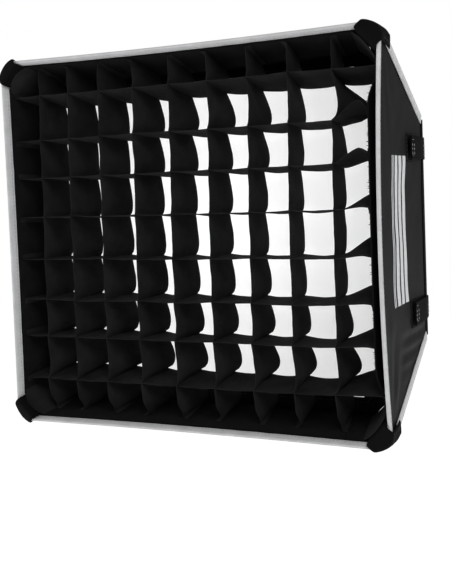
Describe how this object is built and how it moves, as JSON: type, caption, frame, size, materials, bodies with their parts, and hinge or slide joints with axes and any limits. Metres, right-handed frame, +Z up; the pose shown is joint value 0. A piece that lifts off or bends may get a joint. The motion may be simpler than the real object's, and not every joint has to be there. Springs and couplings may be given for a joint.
{
  "type": "grid softbox for a panel light",
  "caption": "Tapered rectangular fabric softbox with a white diffuser and a black egg-crate grid, held open by corner rods and strapped to a panel light's barn doors.",
  "frame": {"origin": "centre of the rear opening, in the plane of the rear hem", "axes": "+Z up, the mouth faces -Y, +X to the right as seen from in front of the mouth"},
  "size_m": [0.4548, 0.2354, 0.3894],
  "materials": {
    "shell_cloth": "coated black cloth with a silver lining",
    "silver_tape": "woven silver-grey edge tape",
    "webbing": "black woven webbing",
    "loop_tape": "black loop tape",
    "diffuser_white": "white diffusion cloth",
    "grid_cloth": "soft black grid cloth",
    "rod_steel": "spring rod with plastic caps"
  },
  "bodies": {
    "shell": {"shell_top": "shell_cloth", "shell_bottom": "shell_cloth", "shell_left": "shell_cloth", "shell_right": "shell_cloth", "binding_top": "silver_tape", "binding_bottom": "silver_tape", "binding_left": "silver_tape", "binding_right": "silver_tape", "seam_top_right": "silver_tape", "seam_top_left": "silver_tape", "seam_bottom_right": "silver_tape", "seam_bottom_left": "silver_tape", "pocket_top_right": "webbing", "pocket_top_left": "webbing", "pocket_bottom_right": "webbing", "pocket_bottom_left": "webbing", "rear_hem": "webbing", "loop_band_top": "loop_tape", "loop_band_bottom": "loop_tape", "loop_band_left": "loop_tape", "loop_band_right": "loop_tape"},
    "diffuser": {"diffuser_cloth": "diffuser_white", "diffuser_border": "loop_tape"},
    "grid": {"grid_band_top": "loop_tape", "grid_band_bottom": "loop_tape", "grid_band_left": "loop_tape", "grid_band_right": "loop_tape", "grid_corner_top_right": "grid_cloth", "grid_corner_top_left": "grid_cloth", "grid_corner_bottom_right": "grid_cloth", "grid_corner_bottom_left": "grid_cloth", "grid_upright_1": "grid_cloth", "grid_upright_2": "grid_cloth", "grid_upright_3": "grid_cloth", "grid_upright_4": "grid_cloth", "grid_upright_5": "grid_cloth", "grid_upright_6": "grid_cloth", "grid_upright_7": "grid_cloth", "grid_upright_8": "grid_cloth", "grid_upright_9": "grid_cloth", "grid_level_1": "grid_cloth", "grid_level_2": "grid_cloth", "grid_level_3": "grid_cloth", "grid_level_4": "grid_cloth", "grid_level_5": "grid_cloth", "grid_level_6": "grid_cloth", "grid_level_7": "grid_cloth", "grid_level_8": "grid_cloth"},
    "rod_top_right": {"rod_top_right": "rod_steel"},
    "rod_top_left": {"rod_top_left": "rod_steel"},
    "rod_bottom_right": {"rod_bottom_right": "rod_steel"},
    "rod_bottom_left": {"rod_bottom_left": "rod_steel"},
    "strap_right_upper": {"strap_right_upper": "webbing"},
    "strap_right_lower": {"strap_right_lower": "webbing"},
    "strap_left_upper": {"strap_left_upper": "webbing"},
    "strap_left_lower": {"strap_left_lower": "webbing"},
    "strap_top_right": {"strap_top_right": "webbing"},
    "strap_top_left": {"strap_top_left": "webbing"},
    "strap_bottom_right": {"strap_bottom_right": "webbing"},
    "strap_bottom_left": {"strap_bottom_left": "webbing"}
  },
  "joints": [
    {"name": "diffuser_pull", "type": "slide", "parent": "shell", "child": "diffuser", "axis": [0, -1, 0], "range_m": [0, 0.12]},
    {"name": "grid_pull", "type": "slide", "parent": "diffuser", "child": "grid", "axis": [0, -1, 0], "range_m": [0, 0.12]},
    {"name": "rod_top_right_slide", "type": "slide", "parent": "shell", "child": "rod_top_right", "axis": [-0.2741, 0.9111, -0.3078], "range_m": [0, 0.2]},
    {"name": "rod_top_left_slide", "type": "slide", "parent": "shell", "child": "rod_top_left", "axis": [0.2741, 0.9111, -0.3078], "range_m": [0, 0.2]},
    {"name": "rod_bottom_right_slide", "type": "slide", "parent": "shell", "child": "rod_bottom_right", "axis": [-0.2741, 0.9111, 0.3078], "range_m": [0, 0.2]},
    {"name": "rod_bottom_left_slide", "type": "slide", "parent": "shell", "child": "rod_bottom_left", "axis": [0.2741, 0.9111, 0.3078], "range_m": [0, 0.2]},
    {"name": "strap_right_upper_hinge", "type": "hinge", "parent": "shell", "child": "strap_right_upper", "pos_m": [0.15754, -0.00028, 0.083], "axis": [0, 0, 1], "range_deg": [0, 150]},
    {"name": "strap_right_lower_hinge", "type": "hinge", "parent": "shell", "child": "strap_right_lower", "pos_m": [0.15754, -0.00028, -0.083], "axis": [0, 0, 1], "range_deg": [0, 150]},
    {"name": "strap_left_upper_hinge", "type": "hinge", "parent": "shell", "child": "strap_left_upper", "pos_m": [-0.15754, -0.00028, 0.083], "axis": [0, 0, -1], "range_deg": [0, 150]},
    {"name": "strap_left_lower_hinge", "type": "hinge", "parent": "shell", "child": "strap_left_lower", "pos_m": [-0.15754, -0.00028, -0.083], "axis": [0, 0, -1], "range_deg": [0, 150]},
    {"name": "strap_top_right_hinge", "type": "hinge", "parent": "shell", "child": "strap_top_right", "pos_m": [0.083, -0.0002, 0.11655], "axis": [-1, 0, 0], "range_deg": [0, 150]},
    {"name": "strap_top_left_hinge", "type": "hinge", "parent": "shell", "child": "strap_top_left", "pos_m": [-0.083, -0.0002, 0.11655], "axis": [-1, 0, 0], "range_deg": [0, 150]},
    {"name": "strap_bottom_right_hinge", "type": "hinge", "parent": "shell", "child": "strap_bottom_right", "pos_m": [0.083, -0.0002, -0.11655], "axis": [1, 0, 0], "range_deg": [0, 150]},
    {"name": "strap_bottom_left_hinge", "type": "hinge", "parent": "shell", "child": "strap_bottom_left", "pos_m": [-0.083, -0.0002, -0.11655], "axis": [1, 0, 0], "range_deg": [0, 150]}
  ]
}
